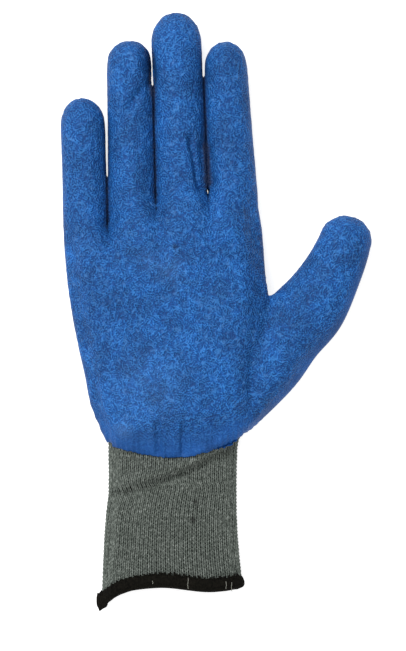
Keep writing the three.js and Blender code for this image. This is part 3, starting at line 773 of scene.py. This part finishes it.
# Seen from above, the left end of the hem swells and runs out in a point, and the right one is rounded
def endShift(co):
    x, y = co.x / mm, co.y / mm
    if x < hemSettings["left"]:
        swell = hemSettings["swell"] * max(0.0, 1 - ((y - hemSettings["swellY"]) / hemSettings["swellReach"]) ** 2)
        swell *= clamped((hemSettings["swellLeft"] - x) / hemSettings["swellFade"])
        point = hemSettings["point"] * min(1.0, (hemSettings["left"] - x) / hemSettings["pointFade"])
        point *= clamped((hemSettings["pointY"] - y) / hemSettings["pointReach"])
        return Vector((-swell, -point, 0)) * mm
    corner = hemSettings["corner"] * mm
    near = min(endTop - co.y, co.y - endLow)
    if x < hemSettings["right"] or near > corner:
        return Vector()
    cut = corner - math.sqrt(max(0.0, corner ** 2 - (corner - near) ** 2))
    return Vector((-cut * min(1.0, (x - hemSettings["right"]) / hemSettings["rightFade"]), 0, 0))


for vert in hem.verts:
    vert.co += endShift(vert.co)
    vert.co.z = max(vert.co.z, 0.0)
hemTree = BVHTree.FromBMesh(hem)
hemBand = addObject("hemBand", hem, overlock)
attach(hemBand, "root")
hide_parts("cuff_hem")

# Each wrap runs over the rim, from outside to inside: its profile goes out from the knit and up from the rim. The
# outer ends stand in an uneven zigzag.
wrapSettings = {"count": 165, "radius": 0.4, "zigzag": 0.9, "rim": 70.8, "above": 66.0,
                "profile": [(0.8, 4.6), (0.85, 3.2), (0.85, 1.6), (0.85, 0.3), (0.55, -0.5), (0.0, -0.8),
                            (-1.0, -0.85), (-1.9, -0.6), (-2.3, 0.1), (-2.4, 1.6), (-2.4, 3.2)]}
wrapCurve = newCurve("overlockWraps", wrapSettings["radius"])
above, rim = cuffSection(wrapSettings["above"]), cuffSection(wrapSettings["rim"])
for wrap in range(wrapSettings["count"]):
    u = (wrap + 0.5) / wrapSettings["count"] - 0.5
    co, normal = rim(u * rim.girth, True)
    along = (above(u * above.girth, True)[0] - co).normalized()
    flat = (normal - along * normal.dot(along)).normalized()
    lift = wrapSettings["zigzag"] * (0.6 * math.cos(wrap * 2.4) + noise.noise(Vector((wrap * 0.9, 3.1, 0.4))))
    run = []
    for index, (out, up) in enumerate(wrapSettings["profile"]):
        point = co + (flat * out + along * (up + (lift if index == 0 else 0))) * mm
        point += endShift(point)
        point.z = max(point.z, wrapSettings["radius"] * mm)
        run.append(point)
    addRun(wrapCurve, run)
wraps = curvePiece("overlockWraps", wrapCurve, overlock)
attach(wraps, "root")

# Ends of light thread caught in the edge, from x, top y, length. They lie on the wraps, a little wavy.
strandSettings = {"radius": 0.13, "lift": 0.75, "wave": 0.12, "spans": 6, "dropFrom": 40,
                  "strands": [(-27.7, -117.8, 1.2), (-12.3, -116.8, 4.4), (4.3, -118.2, 3.0), (6.6, -118.6, 3.4)]}
strandCurve = newCurve("looseStrands", strandSettings["radius"])
for strandX, top, length in strandSettings["strands"]:
    run = []
    for step in range(strandSettings["spans"] + 1):
        y = top - length * step / strandSettings["spans"]
        x = strandX + strandSettings["wave"] * math.sin(step * 1.3 + strandX)
        hit, normal = hemTree.ray_cast(Vector((x, y, strandSettings["dropFrom"])) * mm, Vector((0, 0, -1)))[:2]
        if hit is not None:
            run.append(hit + normal * strandSettings["lift"] * mm)
    if len(run) > 2:
        addRun(strandCurve, run)
strandPiece = curvePiece("looseStrands", strandCurve, looseThread)
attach(strandPiece, "root")
say("hem built")


# Floor and light

stageSettings = {"floorSize": 3000, "floorColour": "#C8C8C8", "floorGlow": 0.75, "world": 0.5,
                 "softbox": {"size": 900, "energy": 13.8, "place": (-450, 500, 1050)},
                 "fill": {"size": 600, "energy": 2.4, "place": (-200, -700, 900)}}
floorMaterial = newMaterial("paleFloor", {"Base Color": colour(stageSettings["floorColour"]), "Roughness": 0.9,
                                          "Emission Color": colour("#FFFFFF"),
                                          "Emission Strength": stageSettings["floorGlow"]})[0]
bpy.ops.mesh.primitive_plane_add(size=stageSettings["floorSize"] * mm, location=(0, 0, 0))
floor = bpy.context.object
floor.name = "floor"
floor.data.materials.append(floorMaterial)


# A square soft light that looks at the middle of the glove
def addSoftLight(name, settings):
    data = bpy.data.lights.new(name, "AREA")
    data.size = settings["size"] * mm
    data.energy = settings["energy"]
    light = bpy.data.objects.new(name, data)
    light.location = [part * mm for part in settings["place"]]
    light.rotation_euler = (-light.location).to_track_quat("-Z", "Y").to_euler()
    scene.collection.objects.link(light)


addSoftLight("softbox", stageSettings["softbox"])
addSoftLight("fill", stageSettings["fill"])
world = bpy.data.worlds.new("world")
scene.world = world
world.use_nodes = True
background = world.node_tree.nodes["Background"]
background.inputs["Color"].default_value = (1, 1, 1, 1)
background.inputs["Strength"].default_value = stageSettings["world"]
scene.view_settings.view_transform = "Standard"
